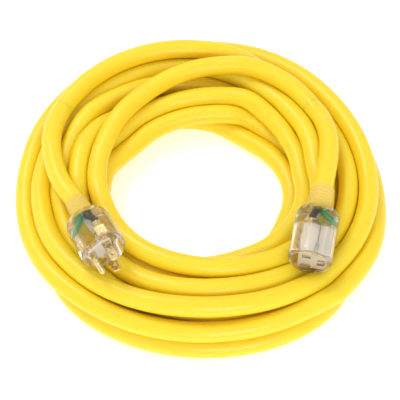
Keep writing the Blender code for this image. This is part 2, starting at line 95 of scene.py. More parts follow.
def make_camera():
    data = bpy.data.cameras.new("camera")
    data.lens = CAMERA_LENS
    camera = bpy.data.objects.new("camera", data)
    bpy.context.scene.collection.objects.link(camera)
    camera.location = CAMERA_SPOT
    camera.rotation_euler = (CAMERA_TARGET - CAMERA_SPOT).to_track_quat("-Z", "Y").to_euler()
    bpy.context.scene.camera = camera


make_camera()

# ---------------------------------------------------------------- the cord's turns

# The turns from the connector to the plug. A row is (degrees, radius, height, hold) in mm, and its
# angle is counted from COIL_MARK. Hold is how much the row keeps its place when turns press on each
# other: 1 for a turn that lies on the outside of the coil, 0 for one that is buried in it.
COIL_MARK = 12.0
TURNS = [
    [(-3, 102.6, 50, 9), (6, 107, 46.5, 9), (16, 111.5, 44, 9), (26, 115, 41, 9), (35, 116.5, 38, 9),
     (48, 116.5, 38.5, 1), (60, 115, 40, 1), (75, 110.5, 41, 1), (90, 105.5, 41.5, 1), (105, 97.5, 41, 1),
     (120, 91, 40, 1), (135, 87.5, 39, 1), (150, 86, 38, 1), (165, 86, 37, 1), (180, 86.5, 35, 1),
     (200, 86, 33, 1), (225, 86.5, 33, 1), (240, 88.5, 35, 1), (255, 90.5, 36.5, 1), (270, 92, 37.5, 1),
     (285, 93.5, 36.5, 1), (300, 97, 34, 1), (315, 99, 28.5, .8), (330, 99, 26, .6), (345, 97, 31, .8)],
    [(0, 95.5, 35, 1), (15, 98.5, 34, 1), (30, 103, 31, 1), (45, 107, 28, 1), (60, 110.5, 26, .6),
     (75, 115, 25, .6), (90, 119.5, 27.5, .8), (105, 121.5, 28.5, 1), (120, 123, 29, 1), (135, 125, 27, 1),
     (150, 127.5, 24.5, .8), (165, 129, 24, .8), (180, 130, 25.5, 1), (195, 131, 27, 1),
     (210, 131.5, 28.5, 1), (225, 130.5, 30.5, 1), (240, 128.5, 33.5, 1), (255, 126.5, 36, 1),
     (270, 126, 37.5, 1), (285, 128, 38, 1), (300, 132.5, 37, 1), (315, 137.5, 34, 1), (330, 140, 31, 1),
     (345, 141, 28, 1)],
    [(0, 140.3, 26.5, 1), (15, 138.8, 28, 1), (30, 137.3, 29, 1), (60, 137.3, 29, 1), (75, 138.2, 27, .8),
     (90, 139.5, 25, .6), (105, 141, 24, .8), (120, 142.5, 24, .8), (135, 144, 24, 1), (150, 145, 24, 1),
     (165, 145.5, 20, 1), (180, 144.5, 15, 1), (195, 144, 12.5, 1), (210, 144.5, 16, 1),
     (225, 144.5, 21, 1), (240, 143, 22.5, 1), (270, 140.8, 22.3, 1), (300, 143.5, 22.3, 1),
     (315, 146, 22, 1), (330, 147.5, 17, 1), (345, 142, 9.5, 1)],
    [(0, 140.5, 8.2, 1), (30, 141.5, 8.2, 1), (60, 139.5, 8.2, .6), (90, 138.5, 8.2, .4),
     (120, 137, 8.2, .4), (150, 134, 8.2, .4), (180, 130, 8.2, .5), (195, 131, 8.2, .5),
     (210, 138.5, 8.2, 1), (225, 148.5, 8.2, 1.5), (240, 146.5, 8.2, 1.5), (255, 145.5, 8.2, 1.2),
     (270, 145, 8.2, 1.2), (285, 147.5, 8.2, 1.5), (300, 151.5, 8.2, 2), (315, 152.5, 8.2, 2),
     (330, 138, 8.2, .5), (345, 129, 8.2, .3)],
    [(0, 128, 8.2, .3), (30, 121, 8.4, .3), (45, 115, 11, .4), (60, 109, 17, .5), (75, 105, 22.5, .8),
     (90, 103.5, 24.5, .8), (105, 105, 26, 1), (120, 107.5, 27.5, 1), (135, 110, 28.5, 1),
     (150, 111.5, 28.5, 1), (165, 113, 27.5, 1), (180, 114, 26.5, .8), (210, 118, 22.5, .5),
     (240, 122, 22.3, 1), (270, 122.5, 22.3, 1), (295, 124, 22, .8), (330, 122, 14, .1)],
    [(0, 112, 9, .1), (45, 110, 8.2, .1), (90, 106, 8.2, .3), (150, 104, 8.2, .2), (180, 105.5, 8.2, .2),
     (210, 107.5, 8.2, .2), (240, 101, 8.2, .2), (270, 94.5, 8.2, .3), (300, 90, 8.2, .4),
     (330, 85.5, 8.2, .7), (345, 82.6, 8.2, 1)],
    [(0, 79.2, 8.2, 1.5), (15, 75.8, 8.2, 1.5), (30, 73.3, 8.2, 1.5), (45, 71.3, 8.2, 1.5),
     (60, 70.3, 8.2, 1.5), (75, 71.3, 8.2, 1.5), (90, 74.2, 8.2, 1.2), (105, 77, 8.2, 1),
     (120, 80, 8.2, 1), (135, 84.5, 8.2, 1), (150, 88.5, 8.2, 1), (165, 91.5, 8.2, 1), (180, 92, 8.2, 1),
     (195, 89, 8.2, 1), (210, 83, 8.2, 1), (225, 79.5, 8.2, 1), (240, 77.5, 8.2, .8), (265, 77, 12, .6),
     (285, 81.5, 19, .8), (300, 86, 23, .8), (315, 92, 25, 1.2), (330, 96, 26, 1.2), (345, 94.5, 25, 1.2)],
    [(0, 90.5, 23.5, .8), (15, 88, 23.5, .8), (30, 87, 24, .8), (45, 86, 25, 1), (60, 84.8, 27, 1),
     (75, 82.5, 28.5, 1), (90, 80.5, 29, 1), (105, 80, 28.5, 1), (120, 81, 27, 1), (135, 84, 26, 1),
     (150, 92, 24, .3), (165, 98, 22, .1), (180, 103, 20, .1), (195, 112, 16, .1), (210, 121, 10, .1),
     (225, 124, 8.2, .1), (240, 121, 8.2, .1), (270, 113, 8.2, .2), (300, 109, 8.2, .1),
     (330, 103, 8.2, .1)],
    [(0, 96, 8.4, .2), (15, 92.5, 8.4, .3), (30, 90, 8.6, .3), (45, 86.5, 9.5, .3), (60, 82, 13, .4),
     (75, 73.5, 20, .5), (90, 67, 23, .8), (105, 66.5, 23.8, .8), (120, 69, 24, .8), (135, 73.5, 24, .8),
     (150, 80, 23, .8), (165, 87, 21.5, .6), (180, 94, 18, .3), (195, 96, 12, .2), (210, 97, 9, .2),
     (225, 96, 10, .2), (240, 96, 16, .2), (255, 97.5, 21, .2), (270, 100, 22.4, .2), (300, 104, 19, .1),
     (330, 108, 17, .1)],
    [(0, 104, 19, .2), (15, 103, 17, .3), (30, 102, 14, .4), (45, 101, 11, .4), (60, 98, 9, .4),
     (75, 93.5, 8.4, .4), (90, 91, 8.2, .4), (105, 93, 8.8, .3), (120, 95.5, 12, .3), (135, 97, 20, .5),
     (150, 98, 28, .7), (165, 99, 33, 1), (180, 99.8, 34, 1), (190, 101, 33, 1), (205, 105, 26.5, .8),
     (225, 110, 24, .6), (240, 113, 29, .8), (255, 110.5, 35, 1), (270, 109, 37, 1), (285, 111, 37, 1),
     (300, 114.5, 35, 1), (315, 118, 30, .8), (330, 121.5, 26.5, .8), (345, 123.5, 26, 1)],
    [(0, 124, 27, 1), (15, 123, 25, 1), (30, 122, 23.5, 1), (45, 122, 24, 1), (60, 122.5, 27, .8),
     (75, 125, 33.5, 1), (90, 127.3, 38.8, 1), (105, 129.7, 40.2, 1), (120, 133, 39.8, 1),
     (140, 133.8, 38.2, 1), (151, 133.5, 38, 9), (160, 131, 40.3, 9), (169.5, 126, 42, 9),
     (179, 119.6, 42.8, 9), (188.7, 113.5, 43.8, 9), (200.3, 106.1, 46.2, 9)],
]
FIXED = [(-16, 36), (3750, 3804)]   # the stretches of the two leads, which don't give way
STATION = 5                         # degrees between the points that settle
ROUNDS = 500
BLADES_REACH, BLADES_GIRTH = 20, 7  # the room kept free in front of the plug's face
END_GAP = 0.3                       # kept between a turn and the two ends
CORD_POINTS_APART = 3.0


def way_out(heading, tilt):
    """The direction out of an end's face."""
    turn, rise = math.radians(heading), math.radians(tilt)
    return np.array([math.cos(turn) * math.cos(rise), math.sin(turn) * math.cos(rise), math.sin(rise)])


def end_capsules():
    """What the turns keep clear of: stretches of the two ends, as (start, end, radius)."""
    spans = []
    plug_back = PLUG_LENGTH + PLUG_RELIEF[0]
    connector_back = CONNECTOR_LENGTH + CONNECTOR_RELIEF[0]
    for face, out, stretches in (
        (PLUG_FACE, way_out(PLUG_HEADING, PLUG_TILT),
         [(-BLADES_REACH, 0, BLADES_GIRTH), (0, PLUG_LENGTH, PLUG_RADIUS),
          (PLUG_LENGTH, plug_back, PLUG_RELIEF[1])]),
        (CONNECTOR_FACE, way_out(CONNECTOR_HEADING, CONNECTOR_TILT),
         [(0, CONNECTOR_LENGTH, CONNECTOR_RADIUS),
          (CONNECTOR_LENGTH, connector_back, CONNECTOR_RELIEF[1])]),
    ):
        origin = np.array(face)
        spans += [(origin - out * a, origin - out * b, radius) for a, b, radius in stretches]
    return spans


def cubic(x, y, at):
    """A smooth curve through points (x, y), read at some x."""
    rise = np.diff(y) / np.diff(x)
    step = np.diff(x)
    slope = np.zeros(len(x))
    slope[1:-1] = (rise[:-1] * step[1:] + rise[1:] * step[:-1]) / (x[2:] - x[:-2])
    slope[0], slope[-1] = rise[0], rise[-1]
    k = np.clip(np.searchsorted(x, at) - 1, 0, len(x) - 2)
    h = step[k]
    t = (at - x[k]) / h
    return ((1 + 2 * t) * (1 - t) ** 2 * y[k] + t * (1 - t) ** 2 * h * slope[k]
            + t * t * (3 - 2 * t) * y[k + 1] + t * t * (t - 1) * h * slope[k + 1])


def bend_towards_neighbours(spots, reach):
    """How far each spot is from the smooth curve through its neighbours, reach stations away."""
    move = np.zeros_like(spots)
    m = reach
    move[2 * m:-2 * m] = (
        (-spots[:-4 * m] + 4 * spots[m:-3 * m] + 4 * spots[3 * m:-m] - spots[4 * m:]) / 6
        - spots[2 * m:-2 * m]
    )
    return move


def settle_turns():
    """The cord's stations as (degrees, (radius, height)), bent smoothly, resting on each other and on
    the floor, and a cord's diameter apart."""
    rows = sorted(
        (angle + 360 * turn, r, z, hold) for turn, keys in enumerate(TURNS) for angle, r, z, hold in keys
    )
    keys = np.array(rows, float)
    index = np.arange(math.ceil(keys[0, 0] / STATION), math.floor(keys[-1, 0] / STATION) + 1)
    angles = index * float(STATION)
    spots = np.stack([cubic(keys[:, 0], keys[:, 1], angles), cubic(keys[:, 0], keys[:, 2], angles)], 1)
    hold = np.interp(angles, keys[:, 0], keys[:, 3])
    aim = spots.copy()
    free = np.ones(len(angles))
    for low, high in FIXED:
        free[(angles >= low) & (angles <= high)] = 0.0

    # every pair of turns at the same station
    by_station = {}
    for k, station in enumerate(index % (360 // STATION)):
        by_station.setdefault(int(station), []).append(k)
    pairs = [(a, b) for ks in by_station.values() for i, a in enumerate(ks) for b in ks[i + 1:]]
    one, other = np.array(pairs).T
    give_one, give_other = free[one] / (0.12 + hold[one]), free[other] / (0.12 + hold[other])
    share = np.maximum(give_one + give_other, 1e-9)

    turn = np.radians(angles + COIL_MARK)
    across, along = np.cos(turn), np.sin(turn)
    capsules = end_capsules()
    apart = CORD_DIAMETER * 1.004

    def part_from_ends():
        world = np.stack([spots[:, 0] * across, spots[:, 0] * along, spots[:, 1]], 1)
        for start, end, radius in capsules:
            span = end - start
            t = ((world - start) @ span) / (span @ span)
            away = world - (start + np.clip(t, 0, 1)[:, None] * span)
            distance = np.linalg.norm(away, axis=1)
            short = np.maximum(0, radius + CORD_RADIUS + END_GAP - distance) * ((t > 0) & (t < 1))
            push = away / np.maximum(distance, 1e-6)[:, None] * short[:, None] * 0.8
            spots[:, 0] += (push[:, 0] * across + push[:, 1] * along) * free
            spots[:, 1] += push[:, 2] * free

    def part_turns():
        gap = spots[other] - spots[one]
        distance = np.sqrt((gap ** 2).sum(1)) + 1e-9
        short = np.maximum(0, apart - distance)
        push = (short / distance)[:, None] * gap
        move, count = np.zeros_like(spots), np.zeros(len(spots))
        np.add.at(move, one, -push * (give_one / share)[:, None])
        np.add.at(move, other, push * (give_other / share)[:, None])
        np.add.at(count, one, short > 0)
        np.add.at(count, other, short > 0)
        spots[:] += move / np.maximum(1, count * 0.6)[:, None] * free[:, None]
        part_from_ends()
        spots[:, 1] = np.maximum(spots[:, 1], CORD_RADIUS)

    for step in range(ROUNDS):
        late = step / ROUNDS
        spots += 0.35 * bend_towards_neighbours(spots, 1) * free[:, None]
        for reach, weight in ((3, 0.12), (5, 0.06)):
            spots += weight * (1 - 0.7 * late) * bend_towards_neighbours(spots, reach) * free[:, None]
        spots += (0.06 * (1 - 0.5 * late) * hold * free)[:, None] * (aim - spots)
        spots[:, 1] -= 0.02 * (1 - hold) * free
        for _ in range(3):
            part_turns()
    return angles, spots


def polar(degrees, radius, height):
    angle = np.radians(degrees)
    return np.stack([radius * np.cos(angle), radius * np.sin(angle), height + 0 * angle], -1)


def curve_through(points, straight_ends, spacing):
    """Smooth curves through points, with the first and last stretch straight. One array of points
    about a spacing apart for each stretch."""
    step = np.linalg.norm(np.diff(points, axis=0), axis=1)
    rise = np.diff(points, axis=0) / step[:, None]
    slope = np.zeros_like(points)
    slope[1:-1] = (
        (rise[:-1] * step[1:, None] + rise[1:] * step[:-1, None]) / (step[1:] + step[:-1])[:, None]
    )
    slope[0], slope[-1] = rise[0], rise[-1]
    if straight_ends:
        slope[1], slope[-2] = rise[0], rise[-1]
    stretches = []
    for k, h in enumerate(step):
        t = np.linspace(0, 1, max(2, round(h / spacing) + 1))[:, None]
        stretches.append(
            (1 + 2 * t) * (1 - t) ** 2 * points[k] + t * (1 - t) ** 2 * h * slope[k]
            + t * t * (3 - 2 * t) * points[k + 1] + t * t * (t - 1) * h * slope[k + 1]
        )
    return stretches


def even(points, spacing):
    """The same line with its points evenly spaced."""
    gone = np.concatenate([[0], np.cumsum(np.linalg.norm(np.diff(points, axis=0), axis=1))])
    count = max(2, round(gone[-1] / spacing) + 1)
    at = np.linspace(0, gone[-1], count)
    return np.stack([np.interp(at, gone, points[:, i]) for i in range(3)], 1)


def join(stretches):
    return np.concatenate([stretches[0], *[s[1:] for s in stretches[1:]]])


def cord_lines():
    """The centre lines of the connector's lead, the coil and the plug's lead, in mm."""
    def inside(face, out, jacket_end, relief_end):
        return [np.array(face) - out * d for d in (jacket_end, relief_end)]

    connector = inside(CONNECTOR_FACE, way_out(CONNECTOR_HEADING, CONNECTOR_TILT), CONNECTOR_JACKET_END,
                       CONNECTOR_LENGTH + MEET_GAP + CONNECTOR_RELIEF[0])
    connector += [polar(*row) for row in CONNECTOR_ROUTE]
    plug = inside(PLUG_FACE, way_out(PLUG_HEADING, PLUG_TILT), PLUG_JACKET_END,
                  PLUG_LENGTH + MEET_GAP + PLUG_RELIEF[0])
    plug += [polar(*row) for row in PLUG_ROUTE]

    angles, spots = settle_turns()
    first = CONNECTOR_ROUTE[-1][0] - COIL_MARK
    last = 360 * (len(TURNS) - 1) + PLUG_ROUTE[-1][0] - COIL_MARK
    inner = (angles > first + 3) & (angles < last - 3)
    coil = polar(angles[inner] + COIL_MARK, spots[inner, 0], spots[inner, 1])
    points = np.array([*connector, *coil, *reversed(plug)])
    stretches = curve_through(points, True, 0.8)
    start, end = len(connector) - 1, len(points) - len(plug)
    parts = (stretches[:start], stretches[start:end], stretches[end:])
    return [even(join(part), CORD_POINTS_APART) for part in parts]


# ---------------------------------------------------------------- mesh helpers

def link(name, mesh, material=None):
    obj = bpy.data.objects.new(name, mesh)
    bpy.context.scene.collection.objects.link(obj)
    if material:
        mesh.materials.append(material)
    return obj


def smooth_shading(mesh, sharp_above=35):
    mesh.polygons.foreach_set("use_smooth", [True] * len(mesh.polygons))
    mesh.set_sharp_from_angle(angle=math.radians(sharp_above))


def frames_along(line, normal=None):
    """Unit tangents and untwisted normals along a line."""
    tangent = np.gradient(line, axis=0)
    tangent /= np.linalg.norm(tangent, axis=1)[:, None]
    if normal is None:
        normal = np.cross(tangent[0], [0, 0, 1.0])
    normals = np.zeros_like(line)
    for i, t in enumerate(tangent):
        normal = normal - t * (normal @ t)
        normal = normal / np.linalg.norm(normal)
        normals[i] = normal
    return tangent, normals


def tube_mesh(name, line, radii, sides, tangent, normals, run=0.0, caps=True):
    """A round tube along a line in mm, with its length and its girth as the UV map in metres."""
    sideways = np.cross(tangent, normals)
    around = np.linspace(0, 2 * math.pi, sides, endpoint=False)
    rim = (normals[:, None] * np.cos(around)[None, :, None]
           + sideways[:, None] * np.sin(around)[None, :, None])
    verts = (line[:, None] + rim * np.broadcast_to(radii, len(line))[:, None, None]).reshape(-1, 3) * MM
    rings = len(line)
    i, j = np.meshgrid(np.arange(rings - 1), np.arange(sides), indexing="ij")
    k = (j + 1) % sides
    quads = np.stack([i * sides + j, i * sides + k, (i + 1) * sides + k, (i + 1) * sides + j], -1)
    faces = quads.reshape(-1, 4).tolist()
    if caps:
        faces += [list(range(sides))[::-1], list(range((rings - 1) * sides, rings * sides))]
    mesh = bpy.data.meshes.new(name)
    mesh.from_pydata(verts.tolist(), [], faces)
    length = run + np.concatenate([[0], np.cumsum(np.linalg.norm(np.diff(line, axis=0), axis=1))]) * MM
    girth = 2 * math.pi * float(np.max(radii)) * MM
    u = np.stack([length[i], length[i], length[i + 1], length[i + 1]], -1)
    v = np.stack([j, j + 1, j + 1, j], -1) / sides * girth
    uv = np.stack([u, v], -1).reshape(-1)
    layer = mesh.uv_layers.new(name="run")
    values = np.zeros(len(mesh.loops) * 2)
    values[:len(uv)] = uv
    layer.data.foreach_set("uv", values)
    smooth_shading(mesh, 60)
    return mesh


def end_matrix(face, heading, tilt):
    """The frame of an end's face: +Z out of it, +Y up and +X level."""
    out = Vector(way_out(heading, tilt))
    across = Vector((-out.y, out.x, 0)).normalized()
    turn = Matrix((across, out.cross(across), out)).transposed()
    return Matrix.Translation(Vector(face) * MM) @ turn.to_4x4()


PLUG_FRAME = end_matrix(PLUG_FACE, PLUG_HEADING, PLUG_TILT)
CONNECTOR_FRAME = end_matrix(CONNECTOR_FACE, CONNECTOR_HEADING, CONNECTOR_TILT)


def rounded(profile, closed=False, steps=5):
    """A profile of (radius, height, fillet) with its corners rounded, as (radius, height)."""
    points = []
    count = len(profile)
    for i, (x, y, *fillet) in enumerate(profile):
        size = fillet[0] if fillet else 0
        if not size or (not closed and i in (0, count - 1)):
            points.append((x, y))
            continue
        here = Vector((x, y))
        before, after = Vector(profile[i - 1][:2]), Vector(profile[(i + 1) % count][:2])
        a, b = (before - here).normalized(), (after - here).normalized()
        for s in range(steps + 1):
            t = s / steps
            spot = here + a * size * (1 - t) ** 2 + b * size * t ** 2
            points.append(tuple(spot))
    return points


def turned(name, profile, steps, material, matrix, spot=(0, 0), sharp=35, closed=False):
    """A profile of (radius, height) turned about local Z."""
    verts, rings = [], []
    for radius, height in profile:
        if radius < 1e-6:
            rings.append([len(verts)])
            verts.append((spot[0], spot[1], height))
            continue
        rings.append(list(range(len(verts), len(verts) + steps)))
        for s in range(steps):
            a = 2 * math.pi * s / steps
            verts.append((spot[0] + radius * math.cos(a), spot[1] + radius * math.sin(a), height))
    faces = []
    for low, high in zip(rings, rings[1:] + rings[:1] if closed else rings[1:]):
        for s in range(steps):
            t = (s + 1) % steps
            if len(low) == 1 and len(high) == 1:
                continue
            if len(low) == 1:
                faces.append((low[0], high[t], high[s]))
            elif len(high) == 1:
                faces.append((low[s], low[t], high[0]))
            else:
                faces.append((low[s], low[t], high[t], high[s]))
    mesh = bpy.data.meshes.new(name)
    mesh.from_pydata([Vector(v) * MM for v in verts], [], faces)
    shape = bmesh.new()
    shape.from_mesh(mesh)
    bmesh.ops.recalc_face_normals(shape, faces=shape.faces)
    shape.to_mesh(mesh)
    shape.free()
    mesh.transform(matrix)
    smooth_shading(mesh, sharp)
    return link(name, mesh, material)


def arc(centre, radius, start, end, steps):
    angles = [math.radians(start + (end - start) * i / steps) for i in range(steps + 1)]
    return [(centre[0] + radius * math.cos(a), centre[1] + radius * math.sin(a)) for a in angles]


def local_tube(name, points, radius, material, matrix, sides=16, spacing=0.7):
    """A tube along a smooth line through points in an end's frame, in mm."""
    line = even(join(curve_through(np.array(points, float), False, 0.2)), spacing)
    tangent, normals = frames_along(line, np.array([1.0, 0.3, 0.1]))
    mesh = tube_mesh(name, line, radius, sides, tangent, normals)
    mesh.transform(matrix)
    return link(name, mesh, material)


# ---------------------------------------------------------------- materials

def shader_of(material):
    return material.node_tree.nodes["Principled BSDF"]


def new_material(name, **settings):
    material = bpy.data.materials.new(name)
    material.use_nodes = True
    for key, value in settings.items():
        shader_of(material).inputs[key.replace("_", " ")].default_value = value
    return material


def texture_space(tree, scale, uv=False):
    coordinates = tree.nodes.new("ShaderNodeTexCoord")
    mapping = tree.nodes.new("ShaderNodeMapping")
    mapping.inputs["Scale"].default_value = scale
    tree.links.new(coordinates.outputs["UV" if uv else "Object"], mapping.inputs["Vector"])
    return mapping.outputs["Vector"]


def noise(tree, scale, detail=3.0, uv=False, stretch=(1, 1, 1)):
    node = tree.nodes.new("ShaderNodeTexNoise")
    node.inputs["Scale"].default_value = scale
    node.inputs["Detail"].default_value = detail
    tree.links.new(texture_space(tree, stretch, uv), node.inputs["Vector"])
    return node.outputs["Fac"]


def ramp(tree, factor, stops):
    node = tree.nodes.new("ShaderNodeValToRGB")
    while len(node.color_ramp.elements) < len(stops):
        node.color_ramp.elements.new(0.5)
    for element, (at, colour) in zip(node.color_ramp.elements, stops):
        element.position = at
        element.color = (*colour, 1)
    tree.links.new(factor, node.inputs["Fac"])
    return node.outputs["Color"]


def grey(value):
    return (value, value, value)


def vary(material, colours, scale, roughness=None, bump=None, detail=3.0, uv=False, stretch=(1, 1, 1)):
    """Colour, roughness and bump that vary over the surface by noise."""
    tree = material.node_tree
    shader = shader_of(material)
    cloud = noise(tree, scale, detail, uv, stretch)
    tree.links.new(ramp(tree, cloud, [(0.3, colours[0]), (0.7, colours[1])]), shader.inputs["Base Color"])
    if roughness:
        band = ramp(tree, cloud, [(0.3, grey(roughness[0])), (0.7, grey(roughness[1]))])
        tree.links.new(band, shader.inputs["Roughness"])
    if bump:
        strength, distance, fine_scale, fine_stretch = bump
        node = tree.nodes.new("ShaderNodeBump")
        node.inputs["Strength"].default_value = strength
        node.inputs["Distance"].default_value = distance
        tree.links.new(noise(tree, fine_scale, 2.0, uv, fine_stretch), node.inputs["Height"])
        tree.links.new(node.outputs["Normal"], shader.inputs["Normal"])
    return material


YELLOW = vary(
    new_material("yellow_vinyl_jacket", Subsurface_Weight=0.45, Subsurface_Radius=(0.014, 0.005, 0.0006),
                 Subsurface_Scale=1.0, Specular_IOR_Level=0.45),
    [(0.91, 0.655, 0.018), (0.93, 0.69, 0.030)], 5.0, (0.30, 0.40),
    (0.25, 0.0002, 1.0, (25, 1400, 1)), uv=True, stretch=(3, 30, 1),
)
CLEAR = new_material(
    "clear_vinyl_moulding", Base_Color=(1.0, 0.94, 0.85, 1), Roughness=0.02, IOR=1.44,
    Transmission_Weight=1.0, Alpha=0.85,
)
CLEAR_RELIEF = new_material(
    "clear_vinyl_sleeve", Base_Color=(1.0, 0.80, 0.20, 1), Roughness=0.18, IOR=1.45, Alpha=0.42,
)   # the sleeve is thin and shows the yellow jacket
WHITE_PLASTIC = vary(
    new_material("white_nylon", Subsurface_Weight=0.1, Subsurface_Radius=(0.002, 0.002, 0.0015)),
    [(0.90, 0.88, 0.84), (0.94, 0.93, 0.90)], 300.0, (0.35, 0.5), (0.2, 0.0001, 2500.0, (1, 1, 1)),
)
BRASS = vary(
    new_material("drawn_brass", Metallic=1.0), [(0.72, 0.56, 0.27), (0.83, 0.68, 0.38)], 400.0,
    (0.18, 0.34),
    (0.15, 0.00005, 3000.0, (1, 1, 1)),
)
BLACK = vary(
    new_material("black_wire_insulation"), [(0.012, 0.012, 0.012), (0.03, 0.03, 0.03)], 300.0, (0.3, 0.45),
)
WHITE = vary(
    new_material("white_wire_insulation"), [(0.74, 0.74, 0.72), (0.83, 0.83, 0.81)], 300.0, (0.3, 0.45),
)
GREEN = vary(
    new_material("green_wire_insulation"), [(0.02, 0.30, 0.12), (0.04, 0.40, 0.17)], 300.0, (0.3, 0.45),
)
LAMP_GLASS = new_material(
    "lamp_glass_tube", Base_Color=(0.8, 0.8, 0.8, 1), Roughness=0.05, Transmission_Weight=0.6,
)
TAN = vary(
    new_material("tan_lacquer"), [(0.48, 0.29, 0.13), (0.60, 0.40, 0.20)], 500.0, (0.3, 0.45),
)
TINNED = vary(
    new_material("tinned_wire", Metallic=1.0), [(0.30, 0.27, 0.24), (0.42, 0.38, 0.33)], 500.0, (0.3, 0.45),
)


# ---------------------------------------------------------------- the cord

def build_cord():
    lines = cord_lines()
    whole = np.concatenate([lines[0], lines[1][1:], lines[2][1:]])
    tangent, normals = frames_along(whole)
    sides = 32
    pieces, first, run = [], 0, 0.0
    for name, line in zip(("connector_cord_end", "cord_turns", "plug_cord_end"), lines):
        last = first + len(line)
        mesh = tube_mesh(name, line, CORD_RADIUS, sides, tangent[first:last], normals[first:last], run)
        run += float(np.linalg.norm(np.diff(line, axis=0), axis=1).sum()) * MM
        pieces.append(link(name, mesh, YELLOW))
        first = last - 1
    return pieces, [line * MM for line in lines]


(CONNECTOR_CORD, COIL_CORD, PLUG_CORD), CORD_PATHS = build_cord()

# ---------------------------------------------------------------- pieces that both ends have


def strain_relief(name, start, length, radius, end):
    """A tapering sleeve with rounded ribs round the cord."""
    ribs = 7
    bore = CORD_RADIUS + 0.25
    pitch = length / ribs
    profile = [(bore, -start), (radius - 0.4, -start, 0.3)]
    for i in range(ribs):
        top = -start - i * pitch
        outer = radius - 0.15 * i
        valley = outer - 0.8
        profile += [
            (outer, top - 0.08 * pitch, 0.2), (outer, top - 0.55 * pitch, 0.3),
            (valley, top - 0.68 * pitch, 0.2), (valley, top - 0.92 * pitch, 0.2),
        ]
    profile += [(radius - 0.15 * ribs - 0.6, -start - length, 0.3), (bore, -start - length)]
    return turned(name, rounded(profile, steps=3), 64, CLEAR_RELIEF, end, closed=True)


def contact_spots(ground_side):
    blades = -ground_side * PATTERN_SHIFT
    return {
        "line": (blades, BLADE_SPACING / 2),
        "neutral": (blades, -BLADE_SPACING / 2),
        "ground": (blades + ground_side * GROUND_OFFSET, 0.0),
    }


def wiring(prefix, ground_side, crimp_start, jacket_end, end):
    """The three crimped barrels and the three insulated conductors behind them."""
    reach = CONDUCTOR_RADIUS * 1.3
    side = reach * math.sin(math.pi / 3)
    at_jacket = {
        "line": (-ground_side * reach / 2, side), "neutral": (-ground_side * reach / 2, -side),
        "ground": (ground_side * reach, 0.0),
    }
    looks = {"line": BLACK, "neutral": WHITE, "ground": GREEN}
    made = []
    for wire, (x, y) in contact_spots(ground_side).items():
        r, start, waist = CRIMP_RADIUS, -crimp_start, CRIMP_RADIUS - 0.5
        profile = rounded([
            (0, start), (r, start, 0.3), (r, start - 1.4, 0.3), (waist, start - 2.0, 0.3),
            (waist, start - 2.9, 0.3), (r, start - 3.5, 0.3), (r, start - CRIMP_LENGTH, 0.3),
            (0, start - CRIMP_LENGTH),
        ])
        barrel = turned(f"{prefix}_{wire}_barrel", profile, 32, BRASS, end, (x, y))
        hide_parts(f"{prefix}_{wire}_crimp")
        made.append(barrel)

        jx, jy = at_jacket[wire]
        z0 = start - CRIMP_LENGTH - 0.3
        run = -(jacket_end - 0.3) - z0
        bends = [(0, 0), (0.16, 0), (0.38, 0.25), (0.62, 0.75), (0.84, 1), (1, 1)]
        points = [
            (x + (jx - x) * across, y + (jy - y) * across, z0 + run * along) for along, across in bends
        ]
        insulated = local_tube(f"{prefix}_{wire}_wire", points, CONDUCTOR_RADIUS, looks[wire], end, 24)
        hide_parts(f"{prefix}_{wire}_conductor")
        made.append(insulated)
    return made


def finish_node(name, material, bevel=None):
    """A CAD node that stays, with its material and softened edges."""
    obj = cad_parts[name]
    if not obj.data.materials:
        obj.data.materials.append(material)
    for slot in obj.material_slots:
        slot.material = material
    if bevel:
        edge = obj.modifiers.new("soft_edge", "BEVEL")
        edge.width = bevel * MM
        edge.segments = 2
        edge.limit_method = "ANGLE"
        edge.angle_limit = math.radians(50)
    return obj


# ---------------------------------------------------------------- plug

def build_plug():
    end = PLUG_FRAME
    r, length, bore = PLUG_RADIUS, PLUG_LENGTH, CORD_RADIUS + 0.25
    shoulder = 6.0
    outside = rounded([(0, 0), (r - 0.9, 0, 0.8), (r, -1.6, 0.9), (r, -6.6, 0.3)])
    outside += arc((r - shoulder, shoulder - length), shoulder, 0, -90, 12)
    pocket = [(bore, -length), (bore, 0.3 - PLUG_JACKET_END), (0, 0.3 - PLUG_JACKET_END)]
    body = turned("plug_clear_body", outside + pocket, 96, CLEAR, end)
    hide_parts("plug_housing")
    relief = strain_relief("plug_clear_relief", length + MEET_GAP, *PLUG_RELIEF, end)
    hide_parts("plug_strain_relief")

    x, y = contact_spots(-1)["ground"]
    radius = GROUND_PIN_RADIUS
    profile = arc((0, GROUND_PIN_LENGTH - radius), radius, 90, 0, 10)
    profile += [(radius, -PLUG_TAIL), (0, -PLUG_TAIL)]
    profile[0] = (0, GROUND_PIN_LENGTH)
    pin = turned("plug_round_pin", profile, 40, BRASS, end, (x, y))
    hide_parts("plug_ground_pin")
    made = [body, relief, pin] + wiring("plug", -1, PLUG_TAIL + 0.3, PLUG_JACKET_END, end)
    for piece in made:
        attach(piece, "plug")
    made.append(finish_node("plug_blade_carrier", WHITE_PLASTIC, 0.3))
    made += [finish_node(f"plug_{wire}_blade", BRASS, 0.25) for wire in ("line", "neutral")]
    return made


PLUG_PIECES = build_plug()

# ---------------------------------------------------------------- connector


